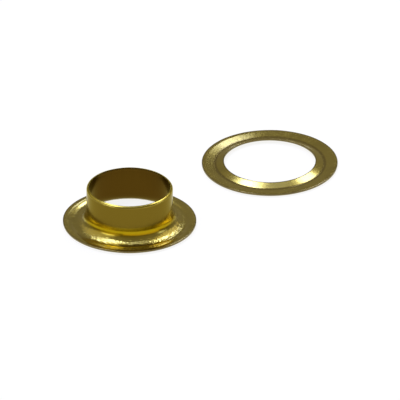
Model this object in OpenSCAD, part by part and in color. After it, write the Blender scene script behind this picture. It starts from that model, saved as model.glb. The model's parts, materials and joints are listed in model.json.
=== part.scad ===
// Two-piece tarpaulin eyelet: a drawn brass eyelet, barrel up, with its loose washer beside it.
// Both lie on the crown of their flange, as they come out of the box.
// Millimetres. +Z is the barrel's axis, and the origin is on that axis in the plane they lie on.

/* [Sheet] */
// Thickness of the brass sheet that both pieces are pressed from
sheet_t = 0.5; // [0.3:0.05:0.7]

/* [Barrel] */
// Outside diameter of the barrel, which passes through the punched tarpaulin
barrel_d = 21.4; // [19:0.1:22.5]
// Height of the whole eyelet, from the crown of the flange to the rim of the barrel
eyelet_h = 10.2; // [7:0.1:16]
// Inside radius of the shoulder left where the barrel's closed end was pierced
shoulder_r = 0.15; // [0.1:0.05:0.7]
// Width of the flat rim left inside the shoulder, round the pierced mouth
rim_flat = 0.05; // [0.05:0.05:1.5]

/* [Flange] */
// Outside diameter of the eyelet's flange
flange_d = 33; // [31:0.5:40]
// Radius of the bend from barrel to flange, on the barrel's outside
foot_r = 3; // [2:0.1:3.3]
// Width of the flat ring that the eyelet rests on
rest_w = 0.2; // [0.1:0.1:0.9]
// Slope at which the flange leaves the flat ring, in degrees
step_a = 22; // [14:1:35]
// Length of the flange at that first slope
step_run = 0.5; // [0.1:0.05:0.8]
// Slope of the lip beyond it, in degrees
lip_a = 12.5; // [4:0.5:14]
// Length of the lip at that slope, before it turns flat
lip_run = 0.45; // [0.1:0.05:1]
// Inside radius of the flange's three small bends
lip_bend_r = 0.8; // [0.3:0.1:1.2]

/* [Washer] */
// Outside diameter of the washer
washer_d = 33.6; // [31:0.1:40]
// Clearance between the barrel and the washer's hole, on each side
washer_clear = 0.65; // [0.2:0.05:1.2]
// Diameter of the crease that the washer rests on
crease_d = 27; // [25:0.5:29]
// Slope of the washer's inner zone, in degrees
inner_a = 21; // [10:1:35]
// Slope of the washer's outer zone, in degrees
outer_a = 7.5; // [4:0.5:20]
// Length of the outer zone at that slope, before it turns flat
outer_run = 2.2; // [1:0.05:3]
// Inside radius of the crease
crease_r = 0.6; // [0.3:0.1:1.2]
// Inside radius of the bend to the flat edge
edge_bend_r = 1.9; // [0.5:0.1:3]

/* [Layout] */
// Clear distance between the eyelet's flange and the washer
washer_gap = 12.8; // [1:0.1:60]
// Direction from the eyelet to the washer, in degrees from +X towards +Y
washer_dir = 41.3; // [0:0.1:90]

/* [Hidden] */

barrel_r = barrel_d / 2;
shoulder_out = shoulder_r + sheet_t;
mouth_r = barrel_r - shoulder_out - rim_flat;
flange_r = flange_d / 2;
washer_r = washer_d / 2;
crease_mid = crease_d / 2;
washer_hole_r = barrel_r + washer_clear;

// How far the sheet runs past a cut before the press trims it
trim_over = 0.3;
// Angle between neighbouring points of a bend
bend_step = 5;
$fn = 128;

// A section is a list of stations [x, z, heading], along the face of the sheet that looks up
function end_of(stations) = stations[len(stations) - 1];

// The stations after a straight stretch
function run(stations, length) =
    let (s = end_of(stations))
    concat(stations, [[s[0] + length * cos(s[2]), s[1] + length * sin(s[2]), s[2]]]);

// The stations after a bend: a positive angle turns up, about a centre above the sheet
function bend(stations, inside_r, angle) =
    let (
        s = end_of(stations),
        face_r = angle > 0 ? inside_r : -inside_r - sheet_t,
        steps = ceil(abs(angle) / bend_step)
    )
    concat(stations, [
        for (i = [1 : steps])
            let (h = s[2] + angle * i / steps)
            [s[0] + face_r * (sin(h) - sin(s[2])), s[1] + face_r * (cos(s[2]) - cos(h)), h]
    ]);

// The length of a straight stretch that ends past the radius at which the sheet is trimmed
function run_to(stations, radius) =
    let (s = end_of(stations))
    (abs(radius - s[0]) + trim_over) / cos(s[2]);

// Turns a section about the axis, one sheet thick below its stations
module pressed(stations) {
    upper = [for (s = stations) [s[0], s[1]]];
    lower = [for (s = stations) [s[0] + sheet_t * sin(s[2]), s[1] - sheet_t * cos(s[2])]];
    rotate_extrude() polygon(concat(upper, [for (i = [len(lower) - 1 : -1 : 0]) lower[i]]));
}

// Cuts the inner edge and the outer edge parallel with the axis, as a press does
module trimmed(inner_r, outer_r, height) {
    difference() {
        intersection() {
            children();
            translate([0, 0, -trim_over]) cylinder(r = outer_r, h = height + 2 * trim_over);
        }
        translate([0, 0, -2 * trim_over]) cylinder(r = inner_r, h = height + 4 * trim_over);
    }
}

// From the pierced end over the shoulder, down the barrel and out to the flange's edge
module eyelet() {
    wall = eyelet_h - shoulder_out - foot_r - sheet_t;
    rim = run([[mouth_r - trim_over, eyelet_h, 0]], trim_over + rim_flat);
    shoulder = bend(rim, shoulder_r, -90);
    foot = bend(run(shoulder, wall), foot_r, 90);
    step = run(bend(run(foot, rest_w), lip_bend_r, step_a), step_run);
    lip = run(bend(step, lip_bend_r, lip_a - step_a), lip_run);
    edge = bend(lip, lip_bend_r, -lip_a);
    color("#9c8536")
        trimmed(mouth_r, flange_r, eyelet_h)
            pressed(run(edge, run_to(edge, flange_r)));
}

// A shallow trough between a raised inner rim and a raised outer edge
module washer() {
    inner_run = (crease_mid - crease_r * sin(inner_a) - washer_hole_r + trim_over) / cos(inner_a);
    inner_top = sheet_t + crease_r * (1 - cos(inner_a)) + inner_run * sin(inner_a);
    slope = run([[washer_hole_r - trim_over, inner_top, -inner_a]], inner_run);
    outer = run(bend(slope, crease_r, inner_a + outer_a), outer_run);
    edge = bend(outer, edge_bend_r, -outer_a);
    place = flange_r + washer_gap + washer_r;
    color("#9c8536")
        translate([place * cos(washer_dir), place * sin(washer_dir), 0])
            trimmed(washer_hole_r, washer_r, inner_top + outer_run * sin(outer_a))
                pressed(run(edge, run_to(edge, washer_r)));
}

eyelet();
washer();
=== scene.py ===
# A brass tarpaulin eyelet and its loose washer: finished meshes, brass, floor, light and camera.
# Sizes are in millimetres, and every mesh is brought to metres as it is finished.
import json
import math

import bmesh
import bpy
from mathutils import Matrix, Vector, noise


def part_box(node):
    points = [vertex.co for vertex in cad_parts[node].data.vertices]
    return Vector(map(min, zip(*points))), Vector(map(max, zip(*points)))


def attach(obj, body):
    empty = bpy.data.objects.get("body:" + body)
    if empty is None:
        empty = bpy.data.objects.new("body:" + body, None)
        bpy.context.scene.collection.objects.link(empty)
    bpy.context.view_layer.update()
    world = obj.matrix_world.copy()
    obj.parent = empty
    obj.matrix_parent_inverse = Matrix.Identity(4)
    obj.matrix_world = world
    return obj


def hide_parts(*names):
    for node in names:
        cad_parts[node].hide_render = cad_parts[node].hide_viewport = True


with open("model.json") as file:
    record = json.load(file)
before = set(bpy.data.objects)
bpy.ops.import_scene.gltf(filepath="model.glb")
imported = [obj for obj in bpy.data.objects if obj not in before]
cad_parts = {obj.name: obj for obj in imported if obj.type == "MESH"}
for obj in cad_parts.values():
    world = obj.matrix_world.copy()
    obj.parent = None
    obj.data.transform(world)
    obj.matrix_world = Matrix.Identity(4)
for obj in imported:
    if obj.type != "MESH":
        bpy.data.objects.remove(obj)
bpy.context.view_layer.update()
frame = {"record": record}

MM = 0.001
mounts = {mount["name"]: mount for mount in frame["record"]["mounts"]}


def radius_of(mount):
    """The radius of a round mount."""
    return mounts[mount]["dims"]["r_mm"]


def box_mm(node):
    """The lowest and the highest corner of a node."""
    low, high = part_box(node)
    return low / MM, high / MM


# Sizes that the frame gives
eyelet_high = box_mm("eyelet")[1]
washer_low, washer_high = box_mm("washer")
barrel_r = radius_of("barrel")
bore_r = radius_of("bore")
mouth_r = radius_of("mouth")
washer_hole_r = radius_of("washer_hole")
sheet = barrel_r - bore_r
eyelet_h = eyelet_high.z
flange_r = eyelet_high.x
washer_r = (washer_high.x - washer_low.x) / 2
washer_centre = (washer_low + washer_high) / 2
washer_centre.z = 0

# The eyelet's section: the shoulder's and the foot's radius are on the outer face,
# and the radius of the flange's three small bends is on the inside of each
rim_flat = 0.05
shoulder_r = barrel_r - mouth_r - rim_flat
foot_r = 3
rest_w = 0.2
step_a = math.radians(22)
step_run = 0.5
lip_a = math.radians(12.5)
lip_run = 0.45
lip_bend_r = 0.8

# The washer's two slopes, with the inside radius of the crease and of the bend to the flat edge
crease_mid = 13.5
crease_r = 0.6
inner_a = math.radians(21)
outer_a = math.radians(7.5)
outer_run = 2.2
edge_bend_r = 1.9

# How far the cut edges are broken
edge_break = 0.08

# Marks of the press: long shallow waves, and grain where the foot's bend was stretched
wave_depth = 0.035
wave_length = 5
grain_depth = 0.05
grain_size = 0.33

# Between which radii the grain and the lacquer come up on the bend, and the grain fades again
bend_start = (barrel_r + 0.3, barrel_r + 1)
bend_end = (barrel_r + foot_r - 1, barrel_r + foot_r)

# Two places in the noise, so that the pieces have different waves
eyelet_seed = 3.7
washer_seed = 8.1

# Steps round each piece, rings in the foot's bend for its grain to show, and the longest
# stretch without a ring
turns = 640
foot_rings = 34
eyelet_stretch = 0.45
washer_stretch = 0.3


# The forms
def wire(corners):
    """An open wire through points given as (radius, height)."""
    mesh = bmesh.new()
    points = [mesh.verts.new((radius, 0, height)) for radius, height in corners]
    for start, end in zip(points, points[1:]):
        mesh.edges.new((start, end))
    return mesh, points


def bend_reach(radius, turn):
    """How far a rounded corner reaches along each of its two sides."""
    return radius * math.tan(turn / 2)


def round_corner(mesh, corner, radius, segments):
    """Rounds one corner of a wire to an arc of the given radius."""
    one, other = [edge.other_vert(corner).co - corner.co for edge in corner.link_edges]
    turn = math.pi - one.angle(other)
    bmesh.ops.bevel(
        mesh, geom=[corner], offset=bend_reach(radius, turn), affect="VERTICES",
        segments=segments, profile=0.5, material=-1,
    )


def divide_runs(mesh, stretch):
    """Cuts the straight runs of a wire, so that its rings lie about evenly."""
    for edge in list(mesh.edges):
        cuts = int(edge.calc_length() / stretch)
        if cuts:
            bmesh.ops.subdivide_edges(mesh, edges=[edge], cuts=cuts)


def spin_section(mesh):
    """Turns a wire once about the vertical axis, with the flange's faces looking up."""
    bmesh.ops.spin(
        mesh, geom=mesh.verts[:] + mesh.edges[:], cent=(0, 0, 0), axis=(0, 0, 1),
        angle=2 * math.pi, steps=turns, use_merge=True,
    )
    bmesh.ops.remove_doubles(mesh, verts=mesh.verts[:], dist=1e-5)
    bmesh.ops.recalc_face_normals(mesh, faces=mesh.faces[:])
    widest = max(mesh.faces, key=lambda face: face.calc_center_median().xy.length)
    if widest.normal.z < 0:
        bmesh.ops.reverse_faces(mesh, faces=mesh.faces[:])


def ramp(value, low, high):
    """Goes smoothly from 0 to 1 as the value goes from low to high."""
    share = min(max((value - low) / (high - low), 0), 1)
    return share * share * (3 - 2 * share)


def bend_grain(radius):
    """How strong the grain is: it comes up in the foot's bend and fades towards its end."""
    return ramp(radius, *bend_start) * (1 - ramp(radius, *bend_end))


def no_grain(radius):
    """The washer has no deep bend, so its sheet stays smooth."""
    return 0


def press_marks(mesh, seed, grain):
    """Leaves the press's waves on the sheet, and grain as strong as grain(radius) says."""
    mesh.normal_update()
    away = Vector((seed, seed, seed))
    for vert in mesh.verts:
        depth = wave_depth * noise.noise(vert.co / wave_length + away)
        strength = grain(vert.co.xy.length)
        if strength:
            depth += strength * grain_depth * noise.noise(vert.co / grain_size + away)
        vert.co += vert.normal * depth


def thicken(mesh):
    """Gives the pressed face the thickness of the sheet, on its lower side."""
    bmesh.ops.solidify(mesh, geom=mesh.faces[:], thickness=sheet)
    bmesh.ops.recalc_face_normals(mesh, faces=mesh.faces[:])


def trim_hole(mesh):
    """Moves the lower ring of the washer's hole along its slope, so that the cut is upright."""
    lower_r = washer_hole_r - sheet * math.sin(inner_a)
    tolerance = 0.02
    for vert in mesh.verts:
        reach = vert.co.xy.length
        if abs(reach - lower_r) < tolerance:
            vert.co.xy *= washer_hole_r / reach
            vert.co.z += (reach - washer_hole_r) * math.tan(inner_a)


def break_edges(mesh):
    """Takes the sharpness off the cut edges, the only ones that turn by more than a radian."""
    sharp = [edge for edge in mesh.edges if edge.is_manifold and edge.calc_face_angle() > 1]
    bmesh.ops.bevel(
        mesh, geom=sharp, offset=edge_break, affect="EDGES", segments=2, profile=0.5, material=-1,
    )


def finish_piece(mesh, name, material, node, centre=(0, 0, 0)):
    """Puts a mesh in its place, in metres, and makes it stand for its node."""
    bmesh.ops.translate(mesh, verts=mesh.verts[:], vec=Vector(centre))
    bmesh.ops.scale(mesh, verts=mesh.verts[:], vec=(MM, MM, MM))
    data = bpy.data.meshes.new(name)
    mesh.to_mesh(data)
    mesh.free()
    for face in data.polygons:
        face.use_smooth = True
    data.materials.append(material)
    piece = bpy.data.objects.new(name, data)
    bpy.context.scene.collection.objects.link(piece)
    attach(piece, "root")
    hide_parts(node)


# Colours and nodes
def linear(code):
    """The linear colour of an sRGB hex code."""
    values = [int(code[i:i + 2], 16) / 255 for i in (1, 3, 5)]
    return [v / 12.92 if v <= 0.04045 else ((v + 0.055) / 1.055) ** 2.4 for v in values] + [1]


def give(tree, node, inputs):
    """Gives each input of a node, by name or number, its value or its link."""
    for name, value in inputs.items():
        if isinstance(value, bpy.types.NodeSocket):
            tree.links.new(value, node.inputs[name])
        else:
            node.inputs[name].default_value = value


def add(tree, kind, settings, inputs):
    """Adds a node with its settings, its values and its links."""
    node = tree.nodes.new(kind)
    for name, value in settings.items():
        setattr(node, name, value)
    give(tree, node, inputs)
    return node


# Tones of the brass, lightest to darkest; the foot's is the most saturated. The foot's tone is a
# painted reflection, and the wall's, the edge's and the inside's tones are painted shade
flat_brass = "#B0A048"
# Painted reflection: a more saturated tone low on the barrel, standing for the flange mirrored in
# the wall's foot
painted_reflection_brass = "#AC9010"
# Painted shade: the barrel's outside and the washer's crease are darkened
shaded_brass = "#988A3C"
# Painted shade along the cut edges of both pieces
painted_shade_brass = "#75611D"
# Painted shade inside the barrel
edge_painted_shade = "#5A4A1E"
inside_painted_shade = "#543D0E"
# What brass tends to where it is seen at a glancing angle
glancing_brass = "#F9F3CB"

# How dull the surface is, between the die's lines and on them
roughness = (0.15, 0.23)
lacquer_weight = 0.8
lacquer_roughness = 0.15

# Sizes of the patterns: the specks and the lines, whose spacing is that at the flange's edge,
# are coarser than the real ones, so that they show
cloud_size = 6
speck_size = 0.3
line_spacing = 0.432
mark_depth = 0.012

# How strong the patterns and the darker tones are
cloud_share = 0.6
line_share = 0.35
bend_specks = 2
washer_specks = 0.05
# Painted shade along the cut edges
cut_share = 0.8
# Painted shade in the crease
crease_share = 0.7

# Between which radii, heights or facings the eyelet's painted shade and painted reflection change
barrel_edge = (barrel_r + 0.1, barrel_r + 0.5)
rim_start = (eyelet_h - 0.6, eyelet_h - 0.35)
foot_top = (3.6, 4.6)
# Where the painted shade inside the barrel begins, by height and by facing
inside_start = (0.2, 0.8)
inside_facing = (-0.6, -0.3)
flange_cut = (flange_r - 0.3, flange_r - 0.1)

# Between which radii the washer's painted shade changes
crease_start = (crease_mid - 0.5, crease_mid - 0.1)
crease_end = (crease_mid + 0.2, crease_mid + 0.7)
washer_cut = (washer_r - 0.3, washer_r - 0.1)
hole_cut = (washer_hole_r + 0.1, washer_hole_r + 0.3)


def brass(name, centre, zones):
    """Sheet brass, drawn or pressed and then lacquered: a yellow metal with soft, pale highlights.

    The zones function gives its piece's tones of painted shade and painted reflection with where
    they lie, and how strong the lacquer and the grain are.
    """
    material = bpy.data.materials.new(name)
    material.use_nodes = True
    tree = material.node_tree
    texture = add(tree, "ShaderNodeTexCoord", {}, {}).outputs

    # Where a point lies on its piece, in millimetres
    local = add(tree, "ShaderNodeMapping", {}, {
        "Vector": texture["Object"],
        "Location": -Vector(centre),
        "Scale": (1 / MM, 1 / MM, 1 / MM),
    }).outputs["Vector"]
    level = add(
        tree, "ShaderNodeVectorMath", {"operation": "MULTIPLY"}, {0: local, 1: (1, 1, 0)}
    ).outputs["Vector"]
    bearing = add(
        tree, "ShaderNodeVectorMath", {"operation": "NORMALIZE"}, {0: level}
    ).outputs["Vector"]
    place = {
        "radius": add(
            tree, "ShaderNodeVectorMath", {"operation": "LENGTH"}, {0: level}
        ).outputs["Value"],
        "height": add(tree, "ShaderNodeSeparateXYZ", {}, {"Vector": local}).outputs["Z"],
        "bearing": bearing,
        "normal": texture["Normal"],
    }

    # Clouds of a darker tone, some millimetres across
    clouds = add(
        tree, "ShaderNodeTexNoise", {}, {"Vector": local, "Scale": 1 / cloud_size}
    ).outputs["Fac"]
    cloudy = add(
        tree, "ShaderNodeMapRange", {"interpolation_type": "SMOOTHSTEP"},
        {"Value": clouds, "From Min": 0.4, "From Max": 0.75, "To Max": cloud_share},
    ).outputs["Result"]
    tones, lacquer, grain = zones(tree, place)
    # The zones' tones, painted shade and painted reflection, go over the flat brass and its clouds
    colour = linear(flat_brass)
    for share, tone in [(cloudy, shaded_brass)] + tones:
        colour = add(
            tree, "ShaderNodeMix", {"data_type": "RGBA"}, {0: share, 6: colour, 7: linear(tone)}
        ).outputs[2]

    # Lines left by the die run up the barrel and straight out over the flange
    lines = add(
        tree, "ShaderNodeTexNoise", {}, {"Vector": bearing, "Scale": flange_r / line_spacing}
    ).outputs["Fac"]
    specks = add(
        tree, "ShaderNodeTexNoise", {}, {"Vector": local, "Scale": 1 / speck_size}
    ).outputs["Fac"]
    grainy = add(
        tree, "ShaderNodeMath", {"operation": "MULTIPLY"}, {0: specks, 1: grain}
    ).outputs[0]
    marks = add(
        tree, "ShaderNodeMath", {"operation": "MULTIPLY_ADD"}, {0: lines, 1: line_share, 2: grainy}
    ).outputs[0]
    bump = add(tree, "ShaderNodeBump", {}, {"Height": marks, "Distance": mark_depth * MM})
    gloss = add(tree, "ShaderNodeMapRange", {}, {
        "Value": lines,
        "From Min": 0.3,
        "From Max": 0.7,
        "To Min": roughness[0],
        "To Max": roughness[1],
    })
    give(tree, tree.nodes["Principled BSDF"], {
        "Base Color": colour,
        "Metallic": 1,
        "Roughness": gloss.outputs["Result"],
        "Normal": bump.outputs["Normal"],
        "Specular Tint": linear(glancing_brass),
        "Coat Weight": lacquer,
        "Coat Roughness": lacquer_roughness,
    })
    return material


def eyelet_zones(tree, place):
    """The barrel is bare and the flange lacquered; painted shade darkens the barrel's outside and
    inside, and a painted reflection of the flange colours its foot.
    """
    out_and_up = add(
        tree, "ShaderNodeVectorMath", {"operation": "ADD"}, {0: place["bearing"], 1: (0, 0, 1)}
    ).outputs["Vector"]
    # Above zero on the sheet's outer face and below zero on its inner one
    facing = add(
        tree, "ShaderNodeVectorMath", {"operation": "DOT_PRODUCT"},
        {0: place["normal"], 1: out_and_up},
    ).outputs["Value"]
    radius = place["radius"]
    height = place["height"]
    bands = {
        "on the barrel": (radius, barrel_edge, 1, 0),
        "below the rim": (height, rim_start, 1, 0),
        "below the wall": (height, foot_top, 1, 0),
        "facing in": (facing, inside_facing, 1, 0),
        "above the floor": (height, inside_start, 0, 1),
        "at the cut": (radius, flange_cut, 0, cut_share),
        "lacquered": (radius, bend_start, 0, lacquer_weight),
        "past the barrel": (radius, bend_start, 0, bend_specks),
        "before the ring": (radius, bend_end, 1, 0),
    }
    part = {
        name: add(
            tree, "ShaderNodeMapRange", {"interpolation_type": "SMOOTHSTEP"},
            {"Value": value, "From Min": ends[0], "From Max": ends[1], "To Min": a, "To Max": b},
        ).outputs["Result"]
        for name, (value, ends, a, b) in bands.items()
    }
    # Painted shade on the barrel's outside below the rim, painted reflection low on the barrel, and
    # painted shade on the faces into the bore
    wall, foot, inside, grain = [
        add(
            tree, "ShaderNodeMath", {"operation": "MULTIPLY"}, {0: part[one], 1: part[other]}
        ).outputs[0]
        for one, other in [
            ("on the barrel", "below the rim"),
            ("on the barrel", "below the wall"),
            ("facing in", "above the floor"),
            ("past the barrel", "before the ring"),
        ]
    ]
    # The wall's, the inside's and the cut's tones are painted shade, and the foot's is a painted
    # reflection
    tones = [
        (wall, painted_shade_brass),
        (foot, painted_reflection_brass),
        (inside, inside_painted_shade),
        (part["at the cut"], edge_painted_shade),
    ]
    return tones, part["lacquered"], grain


def washer_zones(tree, place):
    """The washer is bright, with painted shade along its cut edges and down in its crease."""
    into_crease, out_of_crease, at_edge, at_hole = [
        add(
            tree, "ShaderNodeMapRange", {"interpolation_type": "SMOOTHSTEP"}, {
                "Value": place["radius"],
                "From Min": ends[0],
                "From Max": ends[1],
                "To Min": a,
                "To Max": b,
            },
        ).outputs["Result"]
        for ends, a, b in [
            (crease_start, 0, crease_share),
            (crease_end, 1, 0),
            (washer_cut, 0, cut_share),
            (hole_cut, cut_share, 0),
        ]
    ]
    crease = add(
        tree, "ShaderNodeMath", {"operation": "MULTIPLY"}, {0: into_crease, 1: out_of_crease}
    ).outputs[0]
    # Painted shade in the crease and along the cut edges
    tones = [(crease, painted_shade_brass), (at_edge, edge_painted_shade), (at_hole, edge_painted_shade)]
    return tones, lacquer_weight, washer_specks


# The two pieces
def make_eyelet():
    """The drawn eyelet, from the rim of its mouth over the barrel and the foot to the lip."""
    step_reach = bend_reach(lip_bend_r, step_a)
    lip_reach = bend_reach(lip_bend_r + sheet, step_a - lip_a)
    edge_reach = bend_reach(lip_bend_r + sheet, lip_a)
    step_length = step_reach + step_run + lip_reach
    lip_length = lip_reach + lip_run + edge_reach
    step_start = barrel_r + foot_r + rest_w + step_reach
    lip_start = step_start + step_length * math.cos(step_a)
    lip_low = sheet + step_length * math.sin(step_a)
    edge_start = lip_start + lip_length * math.cos(lip_a)
    edge_z = lip_low + lip_length * math.sin(lip_a)
    mesh, points = wire([
        (mouth_r, eyelet_h),
        (barrel_r, eyelet_h),
        (barrel_r, sheet),
        (step_start, sheet),
        (lip_start, lip_low),
        (edge_start, edge_z),
        (flange_r, edge_z),
    ])
    round_corner(mesh, points[1], shoulder_r, 8)
    round_corner(mesh, points[2], foot_r, foot_rings)
    round_corner(mesh, points[3], lip_bend_r, 4)
    round_corner(mesh, points[4], lip_bend_r + sheet, 3)
    round_corner(mesh, points[5], lip_bend_r + sheet, 3)
    divide_runs(mesh, eyelet_stretch)
    spin_section(mesh)
    press_marks(mesh, eyelet_seed, bend_grain)
    thicken(mesh)
    break_edges(mesh)
    material = brass("drawn_brass", (0, 0, 0), eyelet_zones)
    finish_piece(mesh, "eyelet_drawn", material, "eyelet")


def make_washer():
    """The pressed washer, from its hole down into the crease and up to its flat edge."""
    # Where the two slopes would meet, if the crease weren't round: its lowest point is one
    # sheet above the floor
    corner_r = crease_mid + crease_r * math.tan((outer_a - inner_a) / 2)
    corner_z = sheet - crease_r * (1 / math.cos((inner_a + outer_a) / 2) - 1)
    outer_length = (
        bend_reach(crease_r, inner_a + outer_a) + outer_run
        + bend_reach(edge_bend_r + sheet, outer_a)
    )
    edge_start = corner_r + outer_length * math.cos(outer_a)
    edge_z = corner_z + outer_length * math.sin(outer_a)
    mesh, points = wire([
        (washer_hole_r, corner_z + (corner_r - washer_hole_r) * math.tan(inner_a)),
        (corner_r, corner_z),
        (edge_start, edge_z),
        (washer_r, edge_z),
    ])
    round_corner(mesh, points[1], crease_r, 6)
    round_corner(mesh, points[2], edge_bend_r + sheet, 4)
    divide_runs(mesh, washer_stretch)
    spin_section(mesh)
    press_marks(mesh, washer_seed, no_grain)
    thicken(mesh)
    trim_hole(mesh)
    break_edges(mesh)
    material = brass("pressed_brass", washer_centre, washer_zones)
    finish_piece(mesh, "washer_pressed", material, "washer", washer_centre)


make_eyelet()
make_washer()


# Floor
floor_half = 2500
paper_grey = "#6C6C6B"
paper_light = "#FFFFFF"
paper_lift = 0.86


def make_floor():
    """A sheet of paper, lifted to white for the camera and for the brass that mirrors it."""
    data = bpy.data.meshes.new("floor")
    mesh = bmesh.new()
    bmesh.ops.create_grid(mesh, x_segments=1, y_segments=1, size=floor_half * MM)
    mesh.to_mesh(data)
    mesh.free()
    floor = bpy.data.objects.new("floor", data)
    bpy.context.scene.collection.objects.link(floor)
    paper = bpy.data.materials.new("pale_paper")
    paper.use_nodes = True
    tree = paper.node_tree
    seen = 0
    rays = add(tree, "ShaderNodeLightPath", {}, {}).outputs
    for kind in ("Is Camera Ray", "Is Glossy Ray", "Is Transmission Ray"):
        seen = add(
            tree, "ShaderNodeMath", {"operation": "MAXIMUM"}, {0: seen, 1: rays[kind]}
        ).outputs[0]
    lift = add(tree, "ShaderNodeMath", {"operation": "MULTIPLY"}, {0: seen, 1: paper_lift})
    give(tree, tree.nodes["Principled BSDF"], {
        "Base Color": linear(paper_grey),
        "Roughness": 0.9,
        "Specular IOR Level": 0,
        "Emission Color": linear(paper_light),
        "Emission Strength": lift.outputs[0],
    })
    data.materials.append(paper)


make_floor()


# Light
lamp_distance = 2000


def direction(azimuth, elevation):
    """The way to a place in the sky: azimuth in degrees from the back towards the right."""
    a, e = math.radians(azimuth), math.radians(elevation)
    return Vector((math.sin(a) * math.cos(e), math.cos(a) * math.cos(e), math.sin(e)))


def softbox(name, tint, azimuth, elevation, width, height, radiance, roll=0):
    """A soft lamp that fills width by height degrees of the sky, seen from the object."""
    away = direction(azimuth, elevation)
    data = bpy.data.lights.new(name, "AREA")
    data.shape = "RECTANGLE"
    data.size = 2 * lamp_distance * MM * math.tan(math.radians(width / 2))
    data.size_y = 2 * lamp_distance * MM * math.tan(math.radians(height / 2))
    data.energy = radiance * math.pi * data.size * data.size_y
    data.color = linear(tint)[:3]
    lamp = bpy.data.objects.new(name, data)
    lamp.location = away * lamp_distance * MM
    turn = away.to_track_quat("Z", "Y").to_matrix() @ Matrix.Rotation(math.radians(roll), 3, "Z")
    lamp.rotation_euler = turn.to_euler()
    lamp.visible_camera = False
    bpy.context.scene.collection.objects.link(lamp)


# A warm room with cool lamps: together they are about neutral, and the brass's highlights are pale
room_tint = "#FFF2CE"
lamp_tint = "#D1D9FF"
room_radiance = 0.29
world = bpy.data.worlds.new("studio")
bpy.context.scene.world = world
world.use_nodes = True
give(world.node_tree, world.node_tree.nodes["Background"], {
    "Color": linear(room_tint),
    "Strength": room_radiance,
})
softbox("left_softbox", lamp_tint, -95, 68.5, 24, 21, 7.5, 19)
softbox("back_left_softbox", lamp_tint, -27, 61, 20, 11, 11.5, -6)
softbox("back_right_softbox", lamp_tint, 40, 52, 9, 28, 9, 50)
softbox("back_softbox", lamp_tint, 10, 38.5, 6, 6.5, 7)
softbox("top_softbox", lamp_tint, -171, 87, 38, 15, 1.6)
softbox("low_left_softbox", lamp_tint, -123, 22, 29, 9, 3.8)
softbox("low_right_softbox", lamp_tint, 93, 22, 20, 10, 2.4)
softbox("top_fill", lamp_tint, 0, 73, 40, 14, 0.8)
softbox("right_fill", room_tint, 57, 43, 42, 37, 1, -19)
softbox("front_left_fill", room_tint, -100, 32, 107, 38, 0.44, -19)
softbox("front_fill", room_tint, 149, 8, 94, 16, 0.72)


# Camera, with the point in the middle of its picture and the picture's width
camera_elevation = math.radians(28.3)
camera_distance = 600
picture_middle = Vector((17.4, 12.13, 0))
picture_w = 98.88


def make_camera():
    """A camera in front of the pieces that sees them without perspective."""
    back = Vector((0, -math.cos(camera_elevation), math.sin(camera_elevation)))
    data = bpy.data.cameras.new("camera")
    data.type = "ORTHO"
    data.ortho_scale = picture_w * MM
    camera = bpy.data.objects.new("camera", data)
    camera.location = (picture_middle + back * camera_distance) * MM
    camera.rotation_euler = back.to_track_quat("Z", "Y").to_euler()
    bpy.context.scene.collection.objects.link(camera)
    bpy.context.scene.camera = camera


make_camera()
bpy.context.scene.view_settings.view_transform = "Standard"
